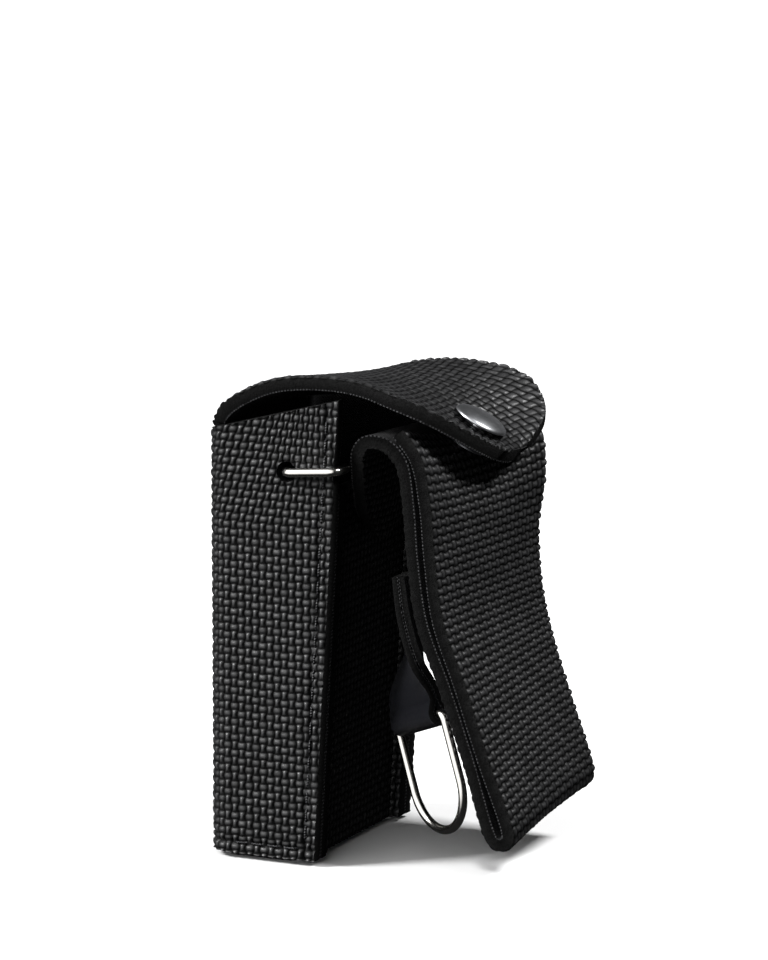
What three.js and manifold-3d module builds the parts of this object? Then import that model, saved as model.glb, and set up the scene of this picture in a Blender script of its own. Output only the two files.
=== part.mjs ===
// Foam carrying pouch with a closing flap, a belt strip with a looped top, a hanging D-ring and two
// wire strap rings. Millimetres, +Z up, front towards -Y, standing on z = 0.
import * as THREE from 'three';
import { mergeVertices } from 'three/addons/utils/BufferGeometryUtils.js';
import Module from 'manifold-3d';

// Laminate and case
const FOAM = 4;                    // thickness of every laminate panel
const GAP = 0.3;                   // clearance between touching pieces
const CASE_HALF_WIDTH = 31;        // outer face of a side gusset
const CASE_DEPTH = 32.4;           // gusset front edge to outer back face, at the base
const CORNER_RADIUS = 7;           // outer radius of the back corners
const FRONT_LEAN = 0.058;          // how far the front edges come forward for each mm of height
const CASE_ORIGIN_Y = 12.9;        // where the gussets' front edges stand in the part's frame
const WALL_FOOT = 1.7;             // lower edge of the walls above the floor
const GUSSET_TOP_FRONT = 127;
const GUSSET_TOP_BACK = 118;
const BACK_TOP = 116;              // where the back panel ends and the closing flap begins
const MOUTH = 101;                 // top edge of the front panel
const FRONT_RECESS = 2.5;          // front panel face behind the gussets' front edges
const TRAY_HEIGHT = 9;             // bottom panel from the floor to its upper face
const TRAY_FLANGE = 5;             // depth of the hollow under the bottom panel
const PANEL_BEND = 2.5;            // outer radius where the front panel turns into its seam flanges

// Belt strip
const STRIP_NEAR = -28.5;          // left edge of the belt strip
const STRIP_FAR = 27;              // right edge of the belt strip
const HINGE_LEFT = new THREE.Vector3(-28.5, -16, 116.2);   // top of the loop at its left end
const HINGE_RIGHT = new THREE.Vector3(27, -20, 114.1);     // and at its right end
const HINGE_SLIT = 0.9;            // gap where the strip bends at the top of the loop
// From the middle of one layer to the middle of the other, at each point of a lengthwise line below
// its top end; the last is at the bottom fold, which leaves a small tunnel.
const LAYER_PITCH = [4.8, 5.3, 5.9, 5.6, 5.1, 5, 6.8];

// Snap fastener
const CAP_RADIUS = 7.5;
const SNAP_CENTRE = new THREE.Vector3(0, -34.5, 118.4); // centre of the cap's underside
const SNAP_TILT = 0.49;            // lean of the snap's axis to the front, in radians
const SNAP_ROLL = 0.14;            // lean of the snap's axis to the right, in radians
const POST_RADIUS = 1.8;
const POST_HOLE_RADIUS = 2.3;
const SOCKET_RADIUS = 6.1;
const STUD_RADIUS = 5.4;
const EYELET_RADIUS = 4.4;
// Heights along the snap's axis, from the cap's underside
const CAP_SINK = 0.2;              // how far the cap's rim sits off the flap's face
const SOCKET_TOP = -FOAM + 0.2;    // the socket lies 0.2 mm into the flap's lining
const STUD_BASE = -FOAM - 3.2;     // the stud stands on the belt strip's outer face
const EYELET_TOP = STUD_BASE - FOAM + 0.4; // the eyelet lies 0.4 mm into the strip's lining
const EYELET_DEPTH = 0.6;
const CUT_REACH = 12;              // how far a cutting cylinder runs past the panel

// Wire parts
const WIRE_RADIUS = 1.2;
const WIRE_CORNER = 2.4;           // bend radius of the wire's middle line
const WIRE_SIDES = 10;
const RING_HEIGHT = 107;           // level of the strap rings
const RING_HOLE_RADIUS = 3;
const RING_BACK = 7.6;             // back bar of a strap ring, which passes through the hole
const RING_FRONT = -7.9;           // front bar, just in front of the gusset's edge
const RING_HALF_WIDTH = 3.7;
const RING_TILT = 0.09;            // the front bar stands a little higher, in radians
const D_RING_HALF_WIDTH = 11.9;
const D_RING_STRAIGHT = 18.4;

// Ring tab
const BAR_CENTRE = new THREE.Vector3(-19.4, -26, 41);
const BAR_DIRECTION = new THREE.Vector3(13, 20, -8.5).normalize();
const HANG_DIRECTION = hangingFrom(BAR_DIRECTION, new THREE.Vector3(-0.05, -0.235, -0.97));
const TAB_HALF_WIDTH = 10.1;
const TAB_THICKNESS = 1.7;         // one layer of the doubled tab
const TAB_PITCH = 2;               // from the middle of one layer to the middle of the other
const TAB_FOLD_RADIUS = 2.35;      // from the D-ring's bar to the middle of the tab that goes round it
const TAB_FOLD_SHARE = 0.14;       // part of the tab's length that goes round the bar
const TAB_OPENING = 0.82;          // where down the tab its layers begin to part

// Facets across and along each bent panel
const WRAP_STEPS = [50, 10];
const FLAP_STEPS = [10, 36];
const STRIP_STEPS = [8, 78];
const LEG_STEPS = [8, 16];
const TAB_STEPS = [6, 50];
const DIFFERENCE = 1e-3;           // step in u and v for a surface's slopes

const wasm = await Module();
wasm.setup();

const laminate = { color: 0x1d1e20, roughness: 0.75, metalness: 0 };
const strapping = { color: 0x15171c, roughness: 0.8, metalness: 0 };
const darkNickel = { color: 0x9a9ea4, roughness: 0.3, metalness: 1 };
const nickel = { color: 0xc8c9c8, roughness: 0.2, metalness: 1 };

// The part of a wished direction that stands at right angles to an axis.
function hangingFrom(axis, wished) {
  return wished.clone().addScaledVector(axis, -wished.dot(axis)).normalize();
}

// The upright plane through the belt strip's hinge line, facing the front.
function uprightPlane(left, right) {
  const along = right.clone().sub(left);
  const normal = new THREE.Vector3(along.y, -along.x, 0).normalize();
  return { normal, offset: normal.dot(left) };
}
const hingePlane = uprightPlane(HINGE_LEFT, HINGE_RIGHT);

function frontEdge(z) {
  return -FRONT_LEAN * z;
}

function solid(geometry) {
  const bare = geometry.index ? geometry.clone() : geometry;
  bare.deleteAttribute('normal');
  bare.deleteAttribute('uv');
  const merged = mergeVertices(bare, 1e-4);
  return new wasm.Manifold(new wasm.Mesh({
    numProp: 3,
    vertProperties: new Float32Array(merged.attributes.position.array),
    triVerts: new Uint32Array(merged.index.array),
  }));
}

function geometryOf(manifold) {
  const mesh = manifold.getMesh();
  const geometry = new THREE.BufferGeometry();
  geometry.setAttribute('position', new THREE.BufferAttribute(mesh.vertProperties, 3));
  geometry.setIndex(new THREE.BufferAttribute(mesh.triVerts, 1));
  return geometry;
}

function named(name, geometry, finish) {
  geometry.computeVertexNormals();
  const mesh = new THREE.Mesh(geometry, new THREE.MeshStandardMaterial(finish));
  mesh.name = name;
  return mesh;
}

// A surface that runs beside another, behind its face for a positive depth.
function insetSurface(surface, depth) {
  return (u, v) => {
    const alongU = surface(Math.min(1, u + DIFFERENCE), v).sub(surface(Math.max(0, u - DIFFERENCE), v));
    const alongV = surface(u, Math.min(1, v + DIFFERENCE)).sub(surface(u, Math.max(0, v - DIFFERENCE)));
    return surface(u, v).addScaledVector(alongU.cross(alongV).normalize(), -depth);
  };
}

// A flat block bent onto a surface. surface(u, v) gives the middle of the sheet for u across and v along.
function bentSheet(across, along, thickness, surface) {
  const block = new THREE.BoxGeometry(1, 1, 1, across, along, 1);
  const position = block.attributes.position;
  for (let i = 0; i < position.count; i += 1) {
    const u = position.getX(i) + 0.5;
    const v = position.getY(i) + 0.5;
    const point = insetSurface(surface, -position.getZ(i) * thickness)(u, v);
    position.setXYZ(i, point.x, point.y, point.z);
  }
  return block;
}

// A surface through three curves: the left edge, the middle and the right edge of a strip.
function threeCurveSurface(left, middle, right) {
  return (u, v) => {
    const point = left.getPoint(v).multiplyScalar((1 - u) * (1 - 2 * u));
    point.addScaledVector(middle.getPoint(v), 4 * u * (1 - u));
    return point.addScaledVector(right.getPoint(v), u * (2 * u - 1));
  };
}

function curve(points) {
  return new THREE.CatmullRomCurve3(points.map((p) => new THREE.Vector3(...p)), false, 'centripetal');
}

// Points in the y-z plane at one x.
function profile(x, pairs) {
  return pairs.map(([y, z]) => new THREE.Vector3(x, y, z));
}

function placedCylinder(radius, bottom, top, place) {
  const cylinder = new THREE.CylinderGeometry(radius, radius, top - bottom, 24);
  cylinder.rotateX(Math.PI / 2);
  cylinder.translate(0, 0, (top + bottom) / 2);
  cylinder.applyMatrix4(place);
  return cylinder;
}

// Case ------------------------------------------------------------------------------------------

// Back panel and both gussets: one sheet round two vertical corners.
function rearWrap() {
  const half = CASE_HALF_WIDTH - FOAM / 2;
  const back = CASE_DEPTH - FOAM / 2;
  const radius = CORNER_RADIUS - FOAM / 2;
  const cornerY = back - radius;
  const cornerX = half - radius;
  const gussetShare = 0.32;
  const cornerShare = 0.09;
  const planPoint = (u, z) => {
    const mirrored = u > 0.5;
    const t = mirrored ? 1 - u : u;
    const side = mirrored ? 1 : -1;
    if (t < gussetShare) {
      const y = THREE.MathUtils.lerp(frontEdge(z), cornerY, t / gussetShare);
      return [side * half, y];
    }
    if (t < gussetShare + cornerShare) {
      const angle = ((t - gussetShare) / cornerShare) * (Math.PI / 2);
      return [side * (cornerX + radius * Math.cos(angle)), cornerY + radius * Math.sin(angle)];
    }
    const share = (t - gussetShare - cornerShare) / (0.5 - gussetShare - cornerShare);
    return [side * cornerX * (1 - share), back];
  };
  const topAt = (u) => {
    const t = u > 0.5 ? 1 - u : u;
    if (t >= gussetShare) {
      return BACK_TOP;
    }
    return THREE.MathUtils.lerp(GUSSET_TOP_FRONT, GUSSET_TOP_BACK, t / gussetShare);
  };
  const sheet = bentSheet(...WRAP_STEPS, FOAM, (u, v) => {
    const z = THREE.MathUtils.lerp(WALL_FOOT, topAt(u), v);
    const [x, y] = planPoint(u, z);
    return new THREE.Vector3(x, y, z);
  });
  let wall = solid(sheet);
  for (const side of [-1, 1]) {
    const hole = new THREE.CylinderGeometry(RING_HOLE_RADIUS, RING_HOLE_RADIUS, 3 * FOAM, 20);
    hole.rotateZ(Math.PI / 2);
    hole.translate(side * half, RING_BACK, RING_HEIGHT);
    wall = wall.subtract(solid(hole));
  }
  return geometryOf(wall);
}

function lean(geometry) {
  const position = geometry.attributes.position;
  for (let i = 0; i < position.count; i += 1) {
    position.setY(i, position.getY(i) + frontEdge(position.getZ(i)));
  }
  return geometry;
}

// Front panel: a channel in plan, with a forward seam flange against each gusset.
function frontPanel() {
  const outer = CASE_HALF_WIDTH - FOAM - GAP;
  const inner = outer - FOAM;
  const bend = PANEL_BEND;
  const plan = new THREE.Shape();
  plan.moveTo(-outer, 0);
  plan.lineTo(-inner, 0);
  plan.lineTo(-inner, FRONT_RECESS);
  plan.lineTo(inner, FRONT_RECESS);
  plan.lineTo(inner, 0);
  plan.lineTo(outer, 0);
  plan.lineTo(outer, FRONT_RECESS + FOAM - bend);
  plan.absarc(outer - bend, FRONT_RECESS + FOAM - bend, bend, 0, Math.PI / 2, false);
  plan.lineTo(-outer + bend, FRONT_RECESS + FOAM);
  plan.absarc(-outer + bend, FRONT_RECESS + FOAM - bend, bend, Math.PI / 2, Math.PI, false);
  plan.closePath();
  const channel = new THREE.ExtrudeGeometry(plan, {
    depth: MOUTH - WALL_FOOT,
    steps: 6,
    bevelEnabled: false,
    curveSegments: 4,
  });
  channel.translate(0, 0, WALL_FOOT);
  return lean(channel);
}

function roundedPlan(halfWidth, front, back, radius) {
  const plan = new THREE.Shape();
  plan.moveTo(-halfWidth, front);
  plan.lineTo(halfWidth, front);
  plan.lineTo(halfWidth, back - radius);
  plan.absarc(halfWidth - radius, back - radius, radius, 0, Math.PI / 2, false);
  plan.lineTo(-halfWidth + radius, back);
  plan.absarc(-halfWidth + radius, back - radius, radius, Math.PI / 2, Math.PI, false);
  plan.closePath();
  return plan;
}

// Bottom panel: a tray turned upside down, standing on the cut edges of its flanges.
function bottomPanel() {
  const half = CASE_HALF_WIDTH - FOAM - GAP;
  const front = FRONT_RECESS + FOAM + GAP;
  const back = CASE_DEPTH - FOAM - GAP;
  const radius = CORNER_RADIUS - FOAM;
  const outline = roundedPlan(half, front, back, radius);
  const hollow = roundedPlan(half - FOAM, front + FOAM, back - FOAM, 1);
  const settings = { depth: TRAY_HEIGHT, bevelEnabled: false, curveSegments: 4 };
  const block = new THREE.ExtrudeGeometry(outline, settings);
  const pocket = new THREE.ExtrudeGeometry(hollow, settings);
  pocket.translate(0, 0, TRAY_FLANGE - TRAY_HEIGHT);
  return geometryOf(solid(block).subtract(solid(pocket)));
}

// Closing flap and snap -------------------------------------------------------------------------

function snapPlace() {
  return new THREE.Matrix4().makeTranslation(...SNAP_CENTRE)
    .multiply(new THREE.Matrix4().makeRotationX(SNAP_TILT))
    .multiply(new THREE.Matrix4().makeRotationY(SNAP_ROLL));
}

// The closing flap's outer face: it rises from the back, arches over and dips to a rounded tip.
function closingFlapFace() {
  const back = CASE_DEPTH;
  const left = curve([
    [-24, back, BACK_TOP + 0.6], [-24.6, back, 118.2], [-27.4, 29, 122.6], [-29, 22, 127.5], [-29, 12, 131.6],
    [-29, -2, 133.2], [-29, -14, 132.3], [-28.8, -24, 129.3], [-24, -33.2, 124.6],
    [-14.5, -41, 117.6], [-4.5, -44.6, 112.4],
  ]);
  const middle = curve([
    [0, back, BACK_TOP + 0.6], [0, back, 118.2], [0, 29.4, 121.6], [0, 23, 124.8], [0, 12, 127.8],
    [0, -2, 128.9], [0, -12, 127.6], [1, -20, 125.2], [2.5, -28, 121.6],
    [3, -36, 116.6], [1, -45, 111.8],
  ]);
  const right = curve([
    [24, back, BACK_TOP + 0.6], [24.3, back, 118.6], [25.6, 29, 121], [26.4, 20, 121.8], [26.5, 9, 124.6],
    [26.5, -3, 128.7], [26.5, -14, 130.5], [26.5, -25, 130.2], [26, -37, 127.2],
    [20.5, -44.6, 120.2], [5.5, -45.6, 111.7],
  ]);
  return threeCurveSurface(left, middle, right);
}

function closingFlap() {
  const middle = insetSurface(closingFlapFace(), -FOAM / 2);
  let flap = solid(bentSheet(...FLAP_STEPS, FOAM, middle));
  flap = flap.subtract(solid(placedCylinder(POST_HOLE_RADIUS, -CUT_REACH, CUT_REACH, snapPlace())));
  flap = flap.subtract(solid(placedCylinder(CAP_RADIUS + GAP, -CAP_SINK, CUT_REACH, snapPlace())));
  flap = flap.subtract(solid(placedCylinder(SOCKET_RADIUS + GAP, -CUT_REACH, SOCKET_TOP + 0.1, snapPlace())));
  return geometryOf(flap);
}

// A domed cap with a hollow post that goes down through the flap.
function snapCap() {
  const outline = [
    [0, -FOAM], [POST_RADIUS, -FOAM], [POST_RADIUS, CAP_SINK], [CAP_RADIUS - 0.5, CAP_SINK],
    [CAP_RADIUS, 0.6], [CAP_RADIUS - 0.3, 1.3], [CAP_RADIUS - 2, 2.1], [3, 2.7], [0, 2.9],
  ];
  const cap = new THREE.LatheGeometry(outline.map((p) => new THREE.Vector2(...p)), 32);
  cap.rotateX(Math.PI / 2);
  cap.applyMatrix4(snapPlace());
  return cap;
}

// The socket: a ring under the flap whose bore takes the stud.
function snapSocket() {
  const top = SOCKET_TOP;
  const bore = 3.9;
  const lip = 0.6;
  const depth = 2.2;
  const outline = [
    [POST_RADIUS + GAP, top], [POST_RADIUS + GAP, top - lip], [bore, top - lip], [bore, top - depth],
    [SOCKET_RADIUS - 0.2, top - depth], [SOCKET_RADIUS, top - depth + 0.4], [SOCKET_RADIUS, top],
    [POST_RADIUS + GAP, top],
  ];
  const socket = new THREE.LatheGeometry(outline.map((p) => new THREE.Vector2(...p)), 28);
  socket.rotateX(Math.PI / 2);
  socket.applyMatrix4(snapPlace());
  return socket;
}

// The stud on the belt strip: a thin base with a round head.
function snapStud() {
  const base = STUD_BASE;
  const neck = 2.4;
  const outline = [
    [0, base], [STUD_RADIUS - 0.2, base], [STUD_RADIUS, base + 0.3], [STUD_RADIUS - 0.2, base + 0.7],
    [neck, base + 0.8], [neck + 0.4, base + 1.6], [neck + 0.1, base + 2.1], [0, base + 2.3],
  ];
  const stud = new THREE.LatheGeometry(outline.map((p) => new THREE.Vector2(...p)), 28);
  stud.rotateX(Math.PI / 2);
  stud.applyMatrix4(snapPlace());
  return stud;
}

// The eyelet behind the strip's outer layer: a thin disc with a post up to the stud.
function snapEyelet() {
  const bottom = EYELET_TOP - EYELET_DEPTH;
  const outline = [
    [0, bottom], [EYELET_RADIUS, bottom], [EYELET_RADIUS, EYELET_TOP], [POST_RADIUS, EYELET_TOP],
    [POST_RADIUS, STUD_BASE - GAP], [0, STUD_BASE - GAP],
  ];
  const eyelet = new THREE.LatheGeometry(outline.map((p) => new THREE.Vector2(...p)), 24);
  eyelet.rotateX(Math.PI / 2);
  eyelet.applyMatrix4(snapPlace());
  return eyelet;
}

// Belt strip ------------------------------------------------------------------------------------

// One lengthwise line of the strip: down the outer layer, round the bottom fold, up the inner
// layer beside it, and over to the top of the loop.
function stripLine(x, outer, loop) {
  const last = outer.length - 1;
  const direction = (i) => outer[Math.min(last, i + 1)].clone().sub(outer[Math.max(0, i - 1)]).normalize();
  const inward = (i) => {
    const along = direction(i);
    return new THREE.Vector3(0, -along.z, along.y);
  };
  const end = outer[last];
  const reach = LAYER_PITCH[last - 1] / 2;
  const centre = end.clone().addScaledVector(inward(last), reach);
  const fold = [45, 90, 135].map((degrees) => {
    const angle = THREE.MathUtils.degToRad(degrees);
    return centre.clone()
      .addScaledVector(inward(last), -reach * Math.cos(angle))
      .addScaledVector(direction(last), reach * Math.sin(angle));
  });
  const inner = [];
  for (let i = last; i >= 1; i -= 1) {
    inner.push(outer[i].clone().addScaledVector(inward(i), LAYER_PITCH[i - 1]));
  }
  return new THREE.CatmullRomCurve3([...outer, ...fold, ...inner, ...loop], false, 'centripetal');
}

function beltFlapSurface() {
  const near = stripLine(
    STRIP_NEAR,
    profile(STRIP_NEAR, [[-24, 119.4], [-29, 112.8], [-31.6, 101], [-33, 86], [-35.4, 70],
      [-41.8, 53], [-48.5, 34], [-55.7, 15]]),
    profile(STRIP_NEAR, [[-21.4, 114.8], [-18, 116.2], [-14.6, 116.2]]),
  );
  const centre = (STRIP_NEAR + STRIP_FAR) / 2;
  const middle = stripLine(
    centre,
    profile(centre, [[-26.4, 114.4], [-31.7, 110.2], [-35.2, 100], [-36.4, 86], [-37.7, 70.5],
      [-42.3, 54.5], [-48.8, 37], [-55.2, 18.6]]),
    profile(centre, [[-22.6, 111.3], [-19.8, 114.4], [-16.6, 115.3]]),
  );
  const far = stripLine(
    STRIP_FAR,
    profile(STRIP_FAR, [[-32.5, 117.3], [-38.8, 113.2], [-40.4, 102], [-38.4, 86], [-39.4, 70.5],
      [-42.7, 56], [-48.6, 38.6], [-54.9, 20.4]]),
    profile(STRIP_FAR, [[-28.5, 113.2], [-22.4, 114.2], [-18.6, 114.1]]),
  );
  return threeCurveSurface(near, middle, far);
}

function beltFlap() {
  const surface = beltFlapSurface();
  let strip = solid(bentSheet(...STRIP_STEPS, FOAM, surface));
  strip = strip.trimByPlane(hingePlane.normal.toArray(), hingePlane.offset + HINGE_SLIT / 2);
  const studSeat = placedCylinder(SOCKET_RADIUS + GAP, STUD_BASE - GAP, -FOAM, snapPlace());
  const eyeletSeat = placedCylinder(EYELET_RADIUS + GAP, EYELET_TOP - 1.2, EYELET_TOP + GAP, snapPlace());
  const postHole = placedCylinder(POST_HOLE_RADIUS, EYELET_TOP - 5, -FOAM, snapPlace());
  for (const cutter of [postHole, studSeat, eyeletSeat]) {
    strip = strip.subtract(solid(cutter));
  }
  return geometryOf(strip);
}

// The leg of the strip: from the top of the loop down to a tapered end on the front panel.
function beltLoopLeg() {
  const near = curve([
    [-28.5, -17.6, 116.3], [-28.4, -14.2, 115.8], [-27.8, -11.8, 113], [-26.2, -11, 108.5],
    [-24, -10.2, 104], [-20.5, -9, 99.5], [-15.5, -7.5, 94], [-5, -5.4, 87],
  ]);
  const middle = curve([
    [-0.7, -19.6, 115.1], [-0.7, -16, 115], [-0.7, -13, 112.8], [-0.7, -11.2, 108.3],
    [-0.7, -10.1, 103.7], [-0.7, -8.7, 98.5], [-0.7, -7.3, 93], [-0.7, -5.3, 86],
  ]);
  const far = curve([
    [27, -21.6, 114], [26.9, -17.6, 114], [26.6, -13.8, 112], [25.2, -11.4, 108],
    [23.1, -10.2, 103.8], [19.1, -9, 99.5], [14.1, -7.5, 94], [3.6, -5.4, 87],
  ]);
  const leg = solid(bentSheet(...LEG_STEPS, FOAM, threeCurveSurface(far, middle, near)));
  const back = hingePlane.normal.clone().negate().toArray();
  return geometryOf(leg.trimByPlane(back, -hingePlane.offset + HINGE_SLIT / 2));
}

// Ring tab and wires ----------------------------------------------------------------------------

// The tab: a thin strip that hangs from its sewn top, twists, goes round the D-ring's bar and comes
// back up behind itself.
function ringTab() {
  const bar = (across) => BAR_CENTRE.clone().addScaledVector(BAR_DIRECTION, across);
  const line = (points, across) => {
    const above = bar(across).addScaledVector(HANG_DIRECTION, -6);
    return curve([...points, above.toArray(), bar(across).toArray()]);
  };
  const near = line([[-26.7, -22.9, 80.5], [-26.9, -24.8, 69], [-27.1, -28.6, 58]], -TAB_HALF_WIDTH);
  const middle = line([[-16, -24.4, 80.5], [-16.8, -23.9, 69], [-18.4, -24.4, 57.5]], 0);
  const far = line([[-5.4, -25.8, 80.5], [-6.8, -22.9, 69], [-9.8, -19.6, 57]], TAB_HALF_WIDTH);
  const hanging = threeCurveSurface(near, middle, far);
  const faceNormal = BAR_DIRECTION.clone().cross(HANG_DIRECTION);
  const layerShare = (1 - TAB_FOLD_SHARE) / 2;
  const spread = (v) => {
    const opening = THREE.MathUtils.smoothstep(v, TAB_OPENING, 1);
    return THREE.MathUtils.lerp(TAB_PITCH / 2, TAB_FOLD_RADIUS, opening);
  };
  const surface = (u, v) => {
    if (v < layerShare) {
      const down = v / layerShare;
      return insetSurface(hanging, -spread(down))(u, down);
    }
    if (v > 1 - layerShare) {
      const down = (1 - v) / layerShare;
      return insetSurface(hanging, spread(down))(u, down);
    }
    const angle = ((v - layerShare) / TAB_FOLD_SHARE) * Math.PI;
    return bar(THREE.MathUtils.lerp(-TAB_HALF_WIDTH, TAB_HALF_WIDTH, u))
      .addScaledVector(faceNormal, TAB_FOLD_RADIUS * Math.cos(angle))
      .addScaledVector(HANG_DIRECTION, TAB_FOLD_RADIUS * Math.sin(angle));
  };
  return bentSheet(...TAB_STEPS, TAB_THICKNESS, surface);
}

// A closed loop of round wire along an anticlockwise outline in the local x-y plane.
function wireLoop(outline, steps, place) {
  const wire = new THREE.TorusGeometry(1, 0.1, WIRE_SIDES, steps);
  const position = wire.attributes.position;
  const uv = wire.attributes.uv;
  for (let i = 0; i < position.count; i += 1) {
    const along = uv.getX(i) % 1;
    const around = uv.getY(i) * 2 * Math.PI;
    const centre = outline.getPointAt(along);
    const tangent = outline.getTangentAt(along);
    const outward = WIRE_RADIUS * Math.cos(around);
    position.setXYZ(
      i,
      centre.x + outward * tangent.y,
      centre.y - outward * tangent.x,
      WIRE_RADIUS * Math.sin(around),
    );
  }
  wire.applyMatrix4(place);
  return wire;
}

function dRing() {
  const half = D_RING_HALF_WIDTH;
  const corner = WIRE_CORNER;
  const outline = new THREE.Path();
  outline.absarc(0, -D_RING_STRAIGHT, half, Math.PI, 2 * Math.PI, false);
  outline.lineTo(half, -corner);
  outline.absarc(half - corner, -corner, corner, 0, Math.PI / 2, false);
  outline.lineTo(-half + corner, 0);
  outline.absarc(-half + corner, -corner, corner, Math.PI / 2, Math.PI, false);
  outline.lineTo(-half, -D_RING_STRAIGHT);
  const up = HANG_DIRECTION.clone().negate();
  const place = new THREE.Matrix4().makeBasis(BAR_DIRECTION, up, BAR_DIRECTION.clone().cross(up));
  place.setPosition(BAR_CENTRE);
  return wireLoop(outline, 60, place);
}

// A rectangular ring through the hole of a gusset and round the gusset's front edge.
function strapRing(side) {
  const corner = WIRE_CORNER;
  const half = RING_HALF_WIDTH;
  const outline = new THREE.Path();
  outline.moveTo(half, RING_FRONT + corner);
  outline.lineTo(half, RING_BACK - corner);
  outline.absarc(half - corner, RING_BACK - corner, corner, 0, Math.PI / 2, false);
  outline.lineTo(-half + corner, RING_BACK);
  outline.absarc(-half + corner, RING_BACK - corner, corner, Math.PI / 2, Math.PI, false);
  outline.lineTo(-half, RING_FRONT + corner);
  outline.absarc(-half + corner, RING_FRONT + corner, corner, Math.PI, 1.5 * Math.PI, false);
  outline.lineTo(half - corner, RING_FRONT);
  outline.absarc(half - corner, RING_FRONT + corner, corner, 1.5 * Math.PI, 2 * Math.PI, false);
  const gussetMiddle = side * (CASE_HALF_WIDTH - FOAM / 2);
  const tilt = new THREE.Matrix4().makeTranslation(0, RING_BACK, 0)
    .multiply(new THREE.Matrix4().makeRotationX(-RING_TILT))
    .multiply(new THREE.Matrix4().makeTranslation(0, -RING_BACK, 0));
  return wireLoop(outline, 44, tilt.premultiply(
    new THREE.Matrix4().makeTranslation(gussetMiddle, 0, RING_HEIGHT),
  ));
}

const assembled = new THREE.Group();
assembled.position.y = CASE_ORIGIN_Y;
assembled.add(named('rear_wrap', rearWrap(), laminate));
assembled.add(named('front_panel', frontPanel(), laminate));
assembled.add(named('bottom_panel', bottomPanel(), laminate));
assembled.add(named('closing_flap', closingFlap(), laminate));
assembled.add(named('snap_cap', snapCap(), darkNickel));
assembled.add(named('snap_socket', snapSocket(), darkNickel));
assembled.add(named('snap_stud', snapStud(), darkNickel));
assembled.add(named('snap_eyelet', snapEyelet(), darkNickel));
assembled.add(named('belt_flap', beltFlap(), laminate));
assembled.add(named('belt_loop_leg', beltLoopLeg(), laminate));
assembled.add(named('ring_tab', ringTab(), strapping));
assembled.add(named('d_ring', dRing(), nickel));
assembled.add(named('left_strap_ring', strapRing(-1), nickel));
assembled.add(named('right_strap_ring', strapRing(1), nickel));

export default assembled;
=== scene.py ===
"""Foam carrying pouch with a closing flap, a belt strip, a hanging D-ring and two strap rings.

The pieces are worked out in millimetres in the case's own place, where y = 0 is the front edge of
the gussets on the floor, and are put into the frame in metres when their meshes are made.
"""
import math

import bpy
import numpy as np
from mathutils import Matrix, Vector


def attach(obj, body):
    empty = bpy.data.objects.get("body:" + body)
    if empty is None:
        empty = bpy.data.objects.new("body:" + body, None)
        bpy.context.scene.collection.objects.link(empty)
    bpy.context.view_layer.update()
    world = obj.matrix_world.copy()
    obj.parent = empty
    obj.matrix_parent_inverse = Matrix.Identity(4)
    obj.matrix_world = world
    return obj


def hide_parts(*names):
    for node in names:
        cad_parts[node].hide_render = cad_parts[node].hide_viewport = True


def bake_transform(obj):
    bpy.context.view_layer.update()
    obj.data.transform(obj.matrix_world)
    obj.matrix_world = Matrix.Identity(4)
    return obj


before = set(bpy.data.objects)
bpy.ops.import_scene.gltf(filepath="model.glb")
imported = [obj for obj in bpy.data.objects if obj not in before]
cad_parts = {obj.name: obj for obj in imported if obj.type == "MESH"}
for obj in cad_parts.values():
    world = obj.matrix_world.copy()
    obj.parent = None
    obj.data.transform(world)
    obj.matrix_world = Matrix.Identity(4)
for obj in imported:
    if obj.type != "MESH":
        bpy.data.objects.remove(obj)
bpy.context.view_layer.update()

MM = 0.001
CASE_ORIGIN_Y = 12.9     # the gussets' front edges in the frame, at the floor

# Laminate
FOAM = 4.0               # thickness of every panel
GAP = 0.3                # clearance between touching pieces
SKIN_PROUD = 0.1         # how far the tops of the yarns stand out of a panel's face

# Embossed weave: warp yarns run along a sheet and weft yarns across it
PITCH = 2.15             # spacing of the yarns, both ways
WARP_CRIMP = 0.28        # rise and fall of a yarn as it goes over and under
WEFT_CRIMP = 0.22
WARP_ROUND = 0.42        # height of a yarn's rounded back
WEFT_ROUND = 0.357
WEAVE_TOP = WARP_CRIMP + WARP_ROUND
WAIST = 0.25             # how much narrower a float is in its middle
FLOAT_LEAN = 0.13        # how much higher the upper end of a warp float stands
FLOAT_VARIATION = 0.12   # difference in height from float to float
SLIT = 0.19              # width of a slit, as a share of half a yarn
WARP_SLIT = 0.34         # extra depth of the slits beside the warp floats
WEFT_SLIT = 0.255
WARP_SLIT_END = 0.35     # what is left of that depth where yarns cross
WEFT_SLIT_END = 0.15
SWAY = 0.26              # how far the slits wander to each side between the floats
WEFT_SWAY = 0.13
PHASES = (0.0, 0.11, 0.3, 0.5, 0.7, 0.89)   # mesh lines across each yarn, close at the grooves
FINE_PHASES = (0.0, 0.08, 0.2, 0.35, 0.5, 0.65, 0.8, 0.92)
LINING_STEP = 3          # skin steps for each step of the smooth lining
KNIT_WALE = 0.95         # width and height of the lining's loops
KNIT_COURSE = 0.7
EDGE_SHARES = (0.0, 0.06, 0.16, 0.3, 0.45, 0.6, 0.75, 0.88, 0.96, 1.0)
EDGE_SWELL = 0.08        # how far the middle of a cut edge stands out
EDGE_ROUGHNESS = 0.025

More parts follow.
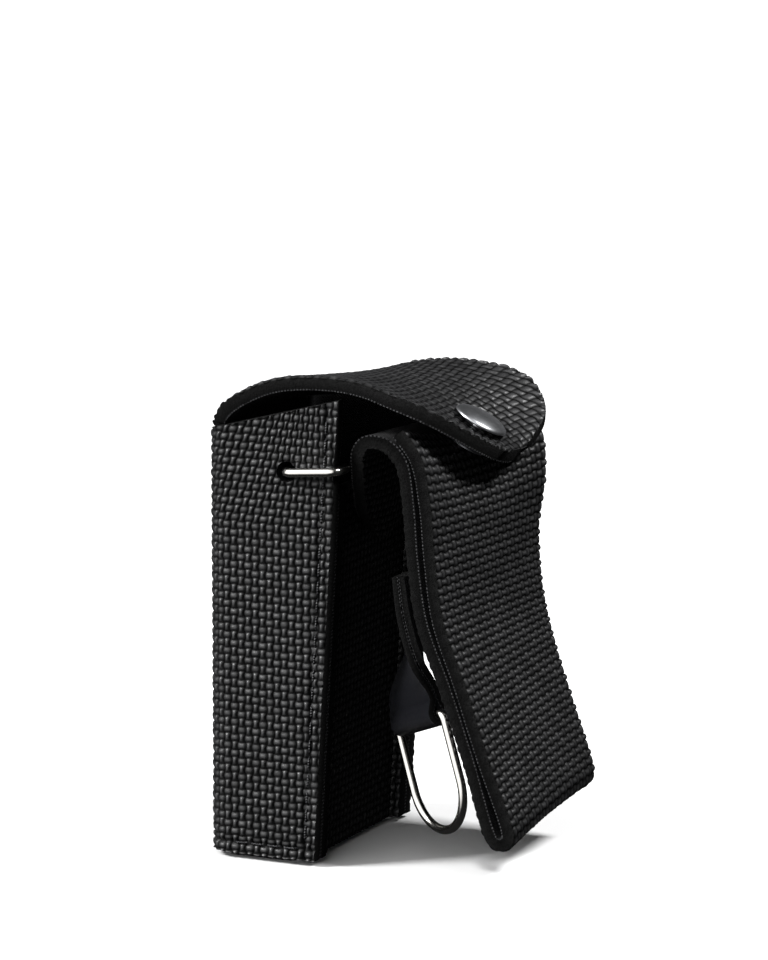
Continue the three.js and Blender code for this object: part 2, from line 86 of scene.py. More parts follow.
# Case
HALF_WIDTH = 31.0
DEPTH = 32.4
CORNER = 7.0             # outer radius of the back corners
LEAN = 0.058             # how far the front edges come forward for each mm of height
WALL_FOOT = 1.7
SLANT = 0.25             # how far the columns lean forward, for each mm up, near the top corners
SLANT_START = 92.0
BULGE = 0.5              # how far the middle of a gusset stands out
BULGE_FRONT = 6.0        # start of the bulge in front of y = 0
TOP_FRONT = 127.0
TOP_BACK = 118.0
BACK_TOP = 116.0
MOUTH = 101.0
RECESS = 2.5             # front panel behind the gussets' front edges
TRAY_TOP = 9.0
TRAY_FLANGE = 5.0
TRAY_MIDDLE = 10.6       # inset at which the tray's outline closes on its middle line
TRAY_CORNER = 0.16       # power that squares the tray's outline
FLAP_BASE = 24.0         # half the closing flap's width where it leaves the back
FLAP_SIDE = 29.0         # half its width over the gussets
FLAP_RELIEF = 0.5        # depth of the flap's weave, which wear and stretch have flattened
FLAP_RIM_RELIEF = 1.0    # how much deeper it is at the cut edge
FLAP_RIM = 1.6

# Belt strip
STRIP_NEAR = -28.5
STRIP_FAR = 27.0
LAYER_PITCH = (4.8, 5.2, 5.3, 5.1, 4.8, 4.7, 5.6)    # between the folded layers, downwards

# Snap, all heights along its axis from the cap's underside
SNAP_CENTRE = (0.0, -34.5, 118.4)
SNAP_TILT = 0.49
SNAP_ROLL = 0.14
CAP_RADIUS = 7.5
CAP_SINK = 0.2
POST_RADIUS = 1.8
SOCKET_RADIUS = 6.1
SOCKET_TOP = -FOAM + 0.2
STUD_RADIUS = 5.4
STUD_BASE = -FOAM - 3.2
EYELET_RADIUS = 4.4
EYELET_TOP = STUD_BASE - FOAM + 0.4
EYELET_DEPTH = 0.6

# Wire parts
WIRE_RADIUS = 1.2
WIRE_CORNER = 2.4
RING_HEIGHT = 107.0
RING_HOLE = {-1: 2.8, 1: 1.5}    # the foam closes on the far ring's bar
RING_NOTCH = 0.4         # how far the ring's front bar has pressed into the gusset's edge
RING_BACK = 7.6
RING_FRONT = -7.9
RING_HALF_WIDTH = 3.7
RING_TILT = 0.09
D_HALF_WIDTH = 11.9
D_STRAIGHT = 18.4

# Ring tab
BAR_CENTRE = np.array((-19.4, -26.0, 41.0))
BAR_DIRECTION = np.array((13.0, 20.0, -8.5)) / np.linalg.norm((13.0, 20.0, -8.5))
HANG_WISH = np.array((-0.05, -0.235, -0.97))
TAB_HALF_WIDTH = 10.1
TAB_THICKNESS = 1.7
TAB_PITCH = 2.0          # between its two layers
TAB_FOLD_RADIUS = 2.35   # of its turn round the bar
TAB_FOLD_SHARE = 0.14    # share of its length in that turn
TAB_OPENING = 0.82       # share of the way down at which its layers part

# Seams
SEAM_INSET = 3.0         # stitch line from a cut edge
STITCH_PITCH = 4.8
STITCH_LENGTH = 4.0
STITCH_RISE = 0.15       # a stitch's middle above the skin
STITCH_DIVE = 0.9        # its ends below its middle
THREAD_RADIUS = 0.26
SEAM_DENT = 0.55         # how deep the thread pulls the skin in
SEAM_DENT_WIDTH = 0.7

# Camera
CAMERA_AZIMUTH = -65.0
CAMERA_ELEVATION = 11.0
CAMERA_TARGET = (-0.0051, 0.0041, 0.1016)
CAMERA_DISTANCE = 1.6
FRAME_HEIGHT = 0.256     # height of the picture at the target
SENSOR = 36.0

# Light
LIGHT_TARGET = (0, 0, 0.06)
BACKDROP = 1.05          # white, to the camera
ROOM_LIGHT = 0.016
SOFTBOX_LIGHT = 1.6      # a broad soft light on the left and behind
SOFTBOX_AZIMUTH = -118.0
SOFTBOX_ELEVATION = 22.0
SOFTBOX_EDGE = (0.45, 0.8)       # cosines of the angles at which it ends and is full


# Small geometry tools --------------------

def unit(vectors):
    lengths = np.linalg.norm(vectors, axis=-1, keepdims=True)
    return vectors / np.maximum(lengths, 1e-9)


def lerp(a, b, share):
    return a + (b - a) * share


def smooth(low, high, value):
    share = np.clip((value - low) / (high - low), 0, 1)
    return share * share * (3 - 2 * share)


def curve(points):
    """A centripetal Catmull-Rom curve; the same number of shares lies between each pair of points."""
    points = np.array(points, float)
    line = np.vstack([2 * points[0] - points[1], points, 2 * points[-1] - points[-2]])
    spans = len(points) - 1

    def at(share):
        place = np.clip(share, 0, 1) * spans
        i = np.minimum(place.astype(int), spans - 1)
        w = (place - i)[..., None]
        p0, p1, p2, p3 = (line[i + k] for k in range(4))
        d0, d1, d2 = (
            np.maximum(np.linalg.norm(b - a, axis=-1, keepdims=True), 1e-6) ** 0.5
            for a, b in ((p0, p1), (p1, p2), (p2, p3))
        )
        t1 = ((p1 - p0) / d0 - (p2 - p0) / (d0 + d1) + (p2 - p1) / d1) * d1
        t2 = ((p2 - p1) / d1 - (p3 - p1) / (d1 + d2) + (p3 - p2) / d2) * d1
        cubic = 2 * p1 - 2 * p2 + t1 + t2
        square = -3 * p1 + 3 * p2 - 2 * t1 - t2
        return p1 + w * (t1 + w * (square + w * cubic))

    return at


def three_curves(left, middle, right):
    def at(u, v):
        a = ((1 - u) * (1 - 2 * u))[..., None]
        b = (4 * u * (1 - u))[..., None]
        c = (u * (2 * u - 1))[..., None]
        return a * left(v) + b * middle(v) + c * right(v)

    return at


def steps(low, high, phases=PHASES):
    """Places from low to high, in step with the yarns, with both ends."""
    yarns = np.arange(math.floor(low / PITCH), math.ceil(high / PITCH) + 1)
    inner = ((yarns[:, None] + np.array(phases)[None]) * PITCH).ravel()
    inner = inner[(inner > low + 0.04) & (inner < high - 0.04)]
    return np.concatenate([[low], inner, [high]])


def running_length(points):
    return np.concatenate([[0], np.cumsum(np.linalg.norm(np.diff(points, axis=0), axis=1))])


def evenly(points, count):
    """The same line through count + 1 evenly spaced points."""
    lengths = running_length(points)
    even = np.linspace(0, lengths[-1], count + 1)
    return np.stack([np.interp(even, lengths, column) for column in points.T], -1)


def shares_by_length(line, count=2000):
    """The length of a line and a function from a place along it to its own share."""
    share = np.linspace(0, 1, count)
    lengths = running_length(line(share))
    return lengths[-1], lambda place: np.interp(place, lengths, share)


def line_tangents(line):
    """Directions along a line, steady where points lie on one another."""
    wide = np.concatenate([line[:1], line[:1], line, line[-1:], line[-1:]])
    return wide[4:] - wide[:-4]


def surface_normals(surface, u, v, step=1e-3):
    across = surface(np.minimum(u + step, 1), v) - surface(np.maximum(u - step, 0), v)
    along = surface(u, np.minimum(v + step, 1)) - surface(u, np.maximum(v - step, 0))
    return unit(np.cross(across, along))


def grid_normals(points):
    across = np.gradient(points, axis=0)
    along = np.gradient(points, axis=1)
    return unit(np.cross(across, along))


def cell_noise(i, j):
    """A steady random number from 0 to 1 for each cell."""
    value = np.sin(i * 12.9898 + j * 78.233) * 43758.5453
    return value - np.floor(value)


# Weave --------------------

def weave(s, t):
    """Height of the embossed weave, in mm, at s across the columns and t along them."""
    column = np.floor(s / PITCH + 1e-6)
    row = np.floor(t / PITCH + 1e-6)
    x = 2 * (s / PITCH - column) - 1
    y = 2 * (t / PITCH - row) - 1
    over = np.sin(np.pi * t / PITCH) * (1 - 2 * np.mod(column, 2))
    under = -np.sin(np.pi * s / PITCH) * (1 - 2 * np.mod(row, 2))
    narrow = x * (1 + WAIST * np.maximum(over, 0))
    low = y * (1 + WAIST * np.maximum(under, 0))
    swell = FLOAT_VARIATION * (cell_noise(column, row) - 0.5)
    warp = WARP_CRIMP * over + WARP_ROUND * np.sqrt(np.clip(1 - narrow ** 2, 0, 1))
    warp = warp + FLOAT_LEAN * y * np.maximum(over, 0) + swell
    weft = WEFT_CRIMP * under + WEFT_ROUND * np.sqrt(np.clip(1 - low ** 2, 0, 1)) - swell
    beside = WARP_SLIT * np.exp(-((1 - np.abs(x)) / SLIT) ** 2) * lerp(WARP_SLIT_END, 1, np.abs(over))
    between = WEFT_SLIT * np.exp(-((1 - np.abs(y)) / SLIT) ** 2) * lerp(WEFT_SLIT_END, 1, np.abs(under))
    return np.maximum(np.maximum(warp, weft) - beside - between, 0)


def sideways_sway(middle, s, t, crosswise):
    """How far each point moves along the sheet, so that the slits wander round the floats."""
    column = np.cos(np.pi * s / PITCH) * np.sin(np.pi * t / PITCH)
    row = np.cos(np.pi * t / PITCH) * np.sin(np.pi * s / PITCH)
    sways = (-WEFT_SWAY, SWAY) if crosswise else (SWAY, -WEFT_SWAY)
    across = unit(np.gradient(middle, axis=0))
    along = unit(np.gradient(middle, axis=1))
    return across * (sways[0] * column)[..., None] + along * (sways[1] * row)[..., None]


# Meshes --------------------

SKIN, EDGE, LINING = 0, 1, 2     # places of a laminate's finishes
SMALLEST_AREA = 1e-5             # twice the area, in mm2, of the least quad that is kept


class Builder:
    """Collects the grids of one piece: points in mm, quads, mapping, finishes and weave height."""

    def __init__(self):
        self.grids = []
        self.count = 0

    def grid(self, points, s, t, finish, relief=None, keep=None, flip=False):
        n, m = points.shape[:2]
        index = self.count + np.arange(n * m).reshape(n, m)
        quads = np.stack([index[:-1, :-1], index[1:, :-1], index[1:, 1:], index[:-1, 1:]], -1)
        quads = quads.reshape(-1, 4)
        if flip:
            quads = quads[:, ::-1]
        if keep is not None:
            corner = keep[:-1, :-1] | keep[1:, :-1] | keep[1:, 1:] | keep[:-1, 1:]
            quads = quads[corner.ravel()]
        flat = points.reshape(-1, 3)
        local = quads - self.count
        area = np.cross(flat[local[:, 2]] - flat[local[:, 0]], flat[local[:, 3]] - flat[local[:, 1]])
        quads = quads[np.linalg.norm(area, axis=1) > SMALLEST_AREA]
        mapping = np.stack([np.broadcast_to(s, (n, m)), np.broadcast_to(t, (n, m))], -1).reshape(-1, 2)
        relief = np.full(n * m, 1.0) if relief is None else relief.ravel()
        self.grids.append((flat, quads, mapping, np.full(len(quads), finish, np.int32), relief))
        self.count += n * m

    def piece(self, name, finishes):
        points, faces, mapping, finish, relief = map(np.concatenate, zip(*self.grids))
        points = points + (0, CASE_ORIGIN_Y, 0)
        faces = faces.astype(np.int32)
        mesh = bpy.data.meshes.new(name)
        mesh.vertices.add(len(points))
        mesh.vertices.foreach_set("co", (points * MM).astype(np.float32).ravel())
        mesh.loops.add(faces.size)
        mesh.loops.foreach_set("vertex_index", faces.ravel())
        mesh.polygons.add(len(faces))
        mesh.polygons.foreach_set("loop_start", np.arange(0, faces.size, 4, dtype=np.int32))
        mesh.polygons.foreach_set("loop_total", np.full(len(faces), 4, np.int32))
        mesh.polygons.foreach_set("material_index", finish)
        mesh.polygons.foreach_set("use_smooth", np.ones(len(faces), bool))
        corners = mapping[faces.ravel()].astype(np.float32)
        mesh.uv_layers.new(name="weave").data.foreach_set("uv", corners.ravel())
        heights = mesh.attributes.new("relief", "FLOAT", "POINT")
        heights.data.foreach_set("value", relief.astype(np.float32))
        for item in finishes:
            mesh.materials.append(item)
        mesh.update(calc_edges=True)
        mesh.validate()
        piece = bpy.data.objects.new(name, mesh)
        bpy.context.scene.collection.objects.link(piece)
        return piece


def cut_edge(build, skin, lining, outward, along, seed):
    """The cut edge between a border of the skin and the same border of the lining."""
    shares = np.array(EDGE_SHARES)[:, None, None]
    random = np.random.default_rng(seed)
    rough = random.normal(0, EDGE_ROUGHNESS, (len(EDGE_SHARES), len(skin)))
    rough[0] = 0
    rough[-1] = 0
    swell = EDGE_SWELL * (1 - np.abs(2 * shares - 1) ** 3) + rough[..., None]
    points = lerp(skin[None], lining[None], shares) + outward[None] * swell
    t = np.broadcast_to(shares[..., 0], points.shape[:2])
    build.grid(points, along[None] * np.ones_like(t), t, EDGE)


def laminate(build, middle, normal, s, t, closed=(), shape_skin=None, shape_lining=None,
             dent=None, thickness=FOAM, relief=1.0, crosswise=False, seed=1):
    """Skin, cut edges and lining round a grid of middle points; normal points out of the skin.

    closed names the borders, of u0 u1 v0 v1, that run on into another panel. crosswise turns the
    weave by a right angle.
    """
    turned_over = np.sum(grid_normals(middle) * normal) < 0
    height = weave(t, s) if crosswise else weave(s, t)
    lift = (height - WEAVE_TOP) * relief
    if dent is not None:
        lift = lift - dent
    skin = middle + normal * (thickness / 2 + SKIN_PROUD + lift)[..., None]
    if np.any(relief):
        skin = skin + sideways_sway(middle, s, t, crosswise)
    keep = None
    if shape_skin:
        skin, keep = shape_skin(skin)
    # Weave height, 0 in the grooves to 1 on the float tops, stored as the relief attribute; the skin's
    # finish paints shade into the grooves with it.
    depth = np.clip(height / WEAVE_TOP, 0, 1)
    build.grid(skin, s, t, SKIN, depth, keep, flip=turned_over)
    lining = middle - normal * thickness / 2
    lining_keep = None
    if shape_lining:
        lining, lining_keep = shape_lining(lining)
    rows = np.unique(np.append(np.arange(0, len(s), LINING_STEP), len(s) - 1))
    columns = np.unique(np.append(np.arange(0, s.shape[1], LINING_STEP), s.shape[1] - 1))
    pick = np.ix_(rows, columns)
    build.grid(lining[pick], s[pick], t[pick], LINING, None,
               None if lining_keep is None else lining_keep[pick], flip=not turned_over)
    across, down = (size // 2 for size in s.shape)
    borders = {
        "u0": (np.s_[0, :], np.s_[across, :]),
        "u1": (np.s_[-1, :], np.s_[across, :]),
        "v0": (np.s_[:, 0], np.s_[:, down]),
        "v1": (np.s_[:, -1], np.s_[:, down]),
    }
    for number, (name, (rim, inner)) in enumerate(borders.items()):
        if name in closed:
            continue
        line = middle[rim]
        tangent = unit(line_tangents(line))
        outward = np.cross(tangent, normal[rim])
        outward *= np.sign(np.sum(outward * (line - middle[inner]), axis=-1, keepdims=True))
        cut_edge(build, skin[rim], lining[rim], unit(outward), running_length(line), seed * 10 + number)


# Materials --------------------

class Nodes:
    """Short calls for adding and joining the nodes of a tree."""

    def __init__(self, tree):
        self.tree = tree

    def give(self, socket, item):
        """Joins another node's output to a socket, or sets the socket to a plain value."""
        if isinstance(item, bpy.types.NodeSocket):
            self.tree.links.new(item, socket)
        else:
            socket.default_value = item

    def node(self, kind, inputs=None, **settings):
        node = self.tree.nodes.new(kind)
        for key, value in settings.items():
            setattr(node, key, value)
        for key, item in (inputs or {}).items():
            self.give(node.inputs[key], item)
        return node


class Finish(Nodes):
    """A material, with calls for the patterns that the finishes share."""

    def __init__(self, name):
        self.material = bpy.data.materials.new(name)
        self.material.use_nodes = True
        super().__init__(self.material.node_tree)
        self.shader = self.tree.nodes["Principled BSDF"]

    def value(self, kind, a, b=0, clamp=False):
        return self.node("ShaderNodeMath", {0: a, 1: b}, operation=kind, use_clamp=clamp).outputs[0]

    def mix(self, factor, a, b, blend="MIX"):
        inputs = {"Factor": factor, "A": a, "B": b}
        return self.node("ShaderNodeMix", inputs, data_type="RGBA", blend_type=blend).outputs["Result"]

    def ramp(self, source, stops):
        """Colours at places from 0 to 1; a single number is a grey."""
        node = self.node("ShaderNodeValToRGB", {"Fac": source})
        while len(node.color_ramp.elements) < len(stops):
            node.color_ramp.elements.new(0.5)
        for element, (place, colour) in zip(node.color_ramp.elements, stops):
            element.position = place
            element.color = (*colour, 1) if hasattr(colour, "__len__") else (colour,) * 3 + (1,)
        return node.outputs["Color"]

    def noise(self, scale, detail=3.0):
        place = self.node("ShaderNodeTexCoord").outputs["Object"]
        inputs = {"Vector": place, "Scale": scale, "Detail": detail}
        return self.node("ShaderNodeTexNoise", inputs).outputs["Fac"]

    def place(self):
        """Where a point is on its sheet: across and along, in mm."""
        mapping = self.node("ShaderNodeUVMap", uv_map="weave")
        split = self.node("ShaderNodeSeparateXYZ", {"Vector": mapping.outputs["UV"]})
        return split.outputs["X"], split.outputs["Y"]

    def wave(self, place, length, kind="SINE"):
        return self.value(kind, self.value("MULTIPLY", place, 2 * math.pi / length))

    def set(self, name, value):
        self.give(self.shader.inputs[name], value)

    def bump(self, height, distance, strength=1.0):
        inputs = {"Height": height, "Distance": distance, "Strength": strength}
        self.set("Normal", self.node("ShaderNodeBump", inputs).outputs["Normal"])


def weave_finish():
    """The embossed rubbery face: black, dull in the grooves, faintly glossy on the worn floats, with painted
    shade that darkens its colour and lowers its specular level down in the grooves.
    """
    look = Finish("weave_skin")
    relief = look.node("ShaderNodeAttribute", attribute_name="relief").outputs["Fac"]
    grain = look.noise(2600, 4)
    patch = look.noise(70, 2)
    # Painted shade: the colour darkens with the weave's relief to near black in the grooves; the broad
    # patches and the speckle are the rubber's own patchiness and grain.
    groove_shade_and_tone = look.value("MULTIPLY", relief, look.value("ADD", 0.72, look.value("MULTIPLY", patch, 0.5)))
    speckle = look.value("MULTIPLY", look.value("SUBTRACT", grain, 0.5), 0.45)
    groove_shade_and_tone = look.value("ADD", groove_shade_and_tone, speckle)
    look.set("Base Color", look.ramp(groove_shade_and_tone, [
        (0.2, 0.0006), (0.6, (0.008, 0.008, 0.0085)), (1.0, (0.028, 0.028, 0.029)),
    ]))
    look.set("Roughness", look.value("SUBTRACT", 0.62, look.value("MULTIPLY", relief, 0.24)))
    # Painted shade on the reflections too: the specular level falls with the relief to nothing in the
    # grooves.
    look.set("Specular IOR Level", look.value("MULTIPLY", relief, 0.6))
    look.bump(grain, 0.00006, 0.8)
    return look.material


def edge_finish():
    """Cut foam: soot black in the core, with painted light that greys it by the skin and painted shade that
    darkens it further towards the lining, and the bright knit of the lining.
    """
    look = Finish("foam_edge")
    along, across = look.place()
    streak = look.noise(1500, 4)
    cell = look.noise(5200, 2)
    # Painted light and shade across the cut edge: grey by the skin, darkening to near black by the lining.
    body = look.ramp(across, [(0.0, 0.007), (0.5, 0.004), (0.7, 0.002), (1.0, 0.001)])
    loop = look.value("ADD", look.wave(along, KNIT_WALE, "COSINE"), 0.55)
    loop = look.value("MULTIPLY", loop, 0.8, clamp=True)
    knit = look.node("ShaderNodeMapRange", {"Value": across, "From Min": 0.88, "From Max": 0.95})
    loop = look.value("MULTIPLY", loop, knit.outputs["Result"])
    loop = look.value("MULTIPLY", loop, look.value("GREATER_THAN", streak, 0.38))
    knitted = look.mix(loop, body, (0.07, 0.07, 0.073, 1))
    streaks = look.ramp(streak, [(0.3, 0.45), (0.7, 1.3)])
    look.set("Base Color", look.mix(1, knitted, streaks, "MULTIPLY"))
    look.set("Roughness", 0.95)
    look.set("Specular IOR Level", 0.1)
    look.bump(look.value("ADD", streak, cell), 0.0004)
    return look.material


def lining_finish():
    """Fine black knit: rows of small loops."""
    look = Finish("knit_lining")
    across, along = look.place()
    loops = look.value("MULTIPLY", look.wave(across, KNIT_WALE), look.wave(along, KNIT_COURSE))
    height = look.value("ADD", look.value("MULTIPLY", loops, 0.5), look.noise(3000))
    look.set("Base Color", look.ramp(height, [
        (0.2, (0.002, 0.002, 0.0023)), (0.95, (0.018, 0.018, 0.0195)),
    ]))
    look.set("Roughness", 0.85)
    look.set("Specular IOR Level", 0.15)
    look.set("Sheen Weight", 0.04)
    look.bump(height, 0.00022, 0.9)
    return look.material


def strap_finish():
    """Blue-black satin strapping with a fine glittering weave."""
    look = Finish("strap_satin")
    across, along = look.place()
    threads = look.value("MULTIPLY", look.wave(across, 0.55), look.wave(along, 0.4))
    grain = look.noise(3800)
    height = look.value("ADD", look.value("MULTIPLY", threads, 0.4), grain)
    look.set("Base Color", look.ramp(height, [
        (0.45, (0.0006, 0.0007, 0.0012)), (0.95, (0.016, 0.017, 0.026)),
    ]))
    look.set("Roughness", look.ramp(grain, [(0.3, 0.28), (0.7, 0.6)]))
    look.set("Specular IOR Level", 0.22)
    look.bump(height, 0.0005)
    return look.material


def thread_finish():
    """Twisted thread: along it in mm, and round it in turns."""
    look = Finish("seam_thread")
    along, around = look.place()
    turn = look.value("ADD", look.value("MULTIPLY", along, 9.0), look.value("MULTIPLY", around, 2 * math.pi))
    ply = look.value("SINE", turn)
    look.set("Base Color", look.ramp(ply, [(0.0, (0.004, 0.004, 0.005)), (1.0, (0.024, 0.024, 0.028))]))
    look.set("Roughness", 0.38)
    look.bump(ply, 0.0001, 0.8)
    return look.material


def nickel_finish(name, colour, roughness, wear):
    """Plated wire or pressing: polished, with faint handling marks."""
    look = Finish(name)
    marks = look.noise(420, 4)
    fine = look.noise(3000, 2)
    look.set("Base Color", look.ramp(marks, [(0.3, tuple(c * 0.86 for c in colour)), (0.7, colour)]))
    look.set("Metallic", 1.0)
    look.set("Roughness", look.ramp(fine, [(0.3, roughness), (0.75, roughness + wear)]))
    look.bump(marks, 0.00002, 0.5)
    return look.material


def floor_finish():
    look = Finish("studio_floor")
    look.set("Base Color", look.ramp(look.noise(3, 2), [(0.3, 0.86), (0.7, 0.88)]))
    look.set("Roughness", 0.7)
    return look.material


FOAM_FINISHES = (weave_finish(), edge_finish(), lining_finish())
STRAP = strap_finish()
THREAD = thread_finish()
NICKEL = nickel_finish("nickel_wire", (0.78, 0.76, 0.72), 0.12, 0.08)
DARK_NICKEL = nickel_finish("dark_nickel", (0.5, 0.51, 0.53), 0.3, 0.1)


def foam_piece(build, name, *nodes):
    """A piece of the laminate, which stands for some CAD nodes."""
    piece = build.piece(name, FOAM_FINISHES)
    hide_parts(*nodes)
    return piece


# Case --------------------

GUSSET_MIDDLE = HALF_WIDTH - FOAM / 2
BACK_MIDDLE = DEPTH - FOAM / 2
CORNER_MIDDLE = CORNER - FOAM / 2
CORNER_Y = BACK_MIDDLE - CORNER_MIDDLE
CORNER_X = GUSSET_MIDDLE - CORNER_MIDDLE
FORWARD = -LEAN * TOP_FRONT - 0.5       # the furthest forward that a gusset reaches
GUSSET_LENGTH = CORNER_Y - FORWARD
ARC_LENGTH = CORNER * math.pi / 2
WRAP_LENGTH = 2 * (GUSSET_LENGTH + ARC_LENGTH + CORNER_X)


def wrap_plan(place):
    """Plan of the rear wrap's middle at a place from the left front edge to the right one."""
    mirrored = place > WRAP_LENGTH / 2
    own = np.where(mirrored, WRAP_LENGTH - place, place)
    side = np.where(mirrored, 1.0, -1.0)
    angle = np.clip((own - GUSSET_LENGTH) / ARC_LENGTH, 0, 1) * math.pi / 2
    across = np.maximum(own - GUSSET_LENGTH - ARC_LENGTH, 0)
    x = side * (CORNER_X + CORNER_MIDDLE * np.cos(angle) - across)
    y = np.minimum(FORWARD + own, CORNER_Y) + CORNER_MIDDLE * np.sin(angle)
    return x, y, own, angle


def wrap_top(own):
    """The wall's top edge: it falls along the gusset and round the corner to the back."""
    along = (own - 0.5) / GUSSET_LENGTH
    slope = lerp(TOP_FRONT, TOP_BACK, np.clip(along, 0, 1))
    return lerp(slope, BACK_TOP, smooth(GUSSET_LENGTH, GUSSET_LENGTH + ARC_LENGTH, own))


def ring_holes(points):
    """Opens the round holes for the strap rings."""
    away = np.hypot(points[..., 1] - RING_BACK, points[..., 2] - RING_HEIGHT)
    gusset = np.abs(points[..., 0]) > CORNER_X
    radius = np.where(points[..., 0] < 0, RING_HOLE[-1], RING_HOLE[1])
    inside = gusset & (away < radius)
    shift = np.where(inside, radius / np.maximum(away, 1e-6), 1.0)
    points = points.copy()
    points[..., 1] = RING_BACK + (points[..., 1] - RING_BACK) * shift
    points[..., 2] = RING_HEIGHT + (points[..., 2] - RING_HEIGHT) * shift
    return points, ~inside


def make_rear_wrap():
    place = steps(0, WRAP_LENGTH)
    height = steps(WALL_FOOT, TOP_FRONT)
    s, t = np.meshgrid(place, height, indexing="ij")
    half = np.minimum(s, WRAP_LENGTH - s)
    sides = smooth(1, 32, half) * (1 - smooth(46, 68, half))     # the gussets, not the back
    slant = sides * SLANT * np.maximum(t - SLANT_START, 0)
    x, y, own, angle = wrap_plan(s + np.where(s < WRAP_LENGTH / 2, -slant, slant))
    z = np.minimum(t, wrap_top(own))
    edge = -LEAN * z + RING_NOTCH * np.exp(-((z - RING_HEIGHT - 2) / 3.5) ** 2)
    cut = np.where(own < GUSSET_LENGTH, np.maximum(edge - y, 0), 0)
    y = y + cut
    upwards = np.clip(z / BACK_TOP, 0, 1)
    backwards = np.clip((y + BULGE_FRONT) / (CORNER_Y + BULGE_FRONT), 0, 1)
    x = x + np.sign(x) * BULGE * np.sin(math.pi * upwards) * np.sin(math.pi * backwards)
    middle = np.stack([x, y, z], -1)
    normal = np.stack([np.where(s < WRAP_LENGTH / 2, -1, 1) * np.cos(angle), np.sin(angle), 0 * x], -1)
    from_front = y - edge
    seam = np.minimum(np.abs(from_front - SEAM_INSET), np.abs(z - WALL_FOOT - SEAM_INSET))
    seam_here = (own < GUSSET_LENGTH) | (z < 2 * SEAM_INSET)
    dent = SEAM_DENT * np.exp(-(seam / SEAM_DENT_WIDTH) ** 2) * seam_here
    build = Builder()
    s = s + np.where(s < WRAP_LENGTH / 2, cut, -cut)
    laminate(build, middle, normal, s, z, dent=dent, shape_skin=ring_holes,
             shape_lining=ring_holes, seed=2)
    for side in (-1, 1):
        hole_wall(build, side)
    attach(foam_piece(build, "rear_wrap_panel", "rear_wrap"), "case")


def hole_wall(build, side):
    """The foam inside a ring hole, with its soft outer rim."""
    angle = np.linspace(0, 2 * math.pi, 49)
    depth = np.array([-FOAM / 2 - 0.1, -FOAM / 2 + 0.3, -1.0, 0.0, 1.0, FOAM / 2 - 0.5, FOAM / 2 - 0.1])
    radius = RING_HOLE[side] + np.array([0.35, 0.05, -0.05, -0.1, -0.05, 0.05, 0.4])
    a, d = np.meshgrid(angle, depth, indexing="ij")
    r = radius[None] + 0 * a
    points = np.stack([
        side * (GUSSET_MIDDLE + d), RING_BACK + r * np.cos(a), RING_HEIGHT + r * np.sin(a),
    ], -1)
    build.grid(points, a * RING_HOLE[side], (d + FOAM / 2) / FOAM * 0.8, EDGE)


def make_front_panel():
    """The front, set back between the gussets, with flanges that come forward along them."""
    bend = 1.5
    flange_x = HALF_WIDTH - FOAM - GAP - FOAM / 2
    face_y = RECESS + FOAM / 2
    flange = face_y - bend + 0.5
    arc = bend * math.pi / 2
    face = 2 * (flange_x - bend)
    total = 2 * (flange + arc) + face
    s, t = np.meshgrid(steps(0, total), steps(WALL_FOOT, MOUTH), indexing="ij")
    mirrored = s > total / 2
    own = np.where(mirrored, total - s, s)
    side = np.where(mirrored, 1.0, -1.0)
    angle = np.clip((own - flange) / arc, 0, 1) * math.pi / 2
    x = side * (flange_x - bend + bend * np.cos(angle) - np.maximum(own - flange - arc, 0))
    y = np.maximum(np.minimum(own - 0.5, face_y - bend) + bend * np.sin(angle), 0)
    middle = np.stack([x, y - LEAN * t, t], -1)
    normal = np.stack([-side * np.cos(angle), -np.sin(angle), 0 * x], -1)
    build = Builder()
    laminate(build, middle, normal, s, t, seed=3)
    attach(foam_piece(build, "front_panel_sheet", "front_panel"), "case")


def tray_outline(inset, count=240):
    """The bottom panel's outline in plan, drawn in by inset, with rounded corners."""
    half = HALF_WIDTH - FOAM - GAP - inset
    front = RECESS + FOAM + GAP + inset
    back = DEPTH - FOAM - GAP - inset
    angle = np.linspace(0, 2 * math.pi, count + 1)
    c, w = np.cos(angle), np.sin(angle)
    x = half * np.sign(c) * np.abs(c) ** TRAY_CORNER
    y = (front + back) / 2 + (back - front) / 2 * np.sign(w) * np.abs(w) ** TRAY_CORNER
    return x, y, angle


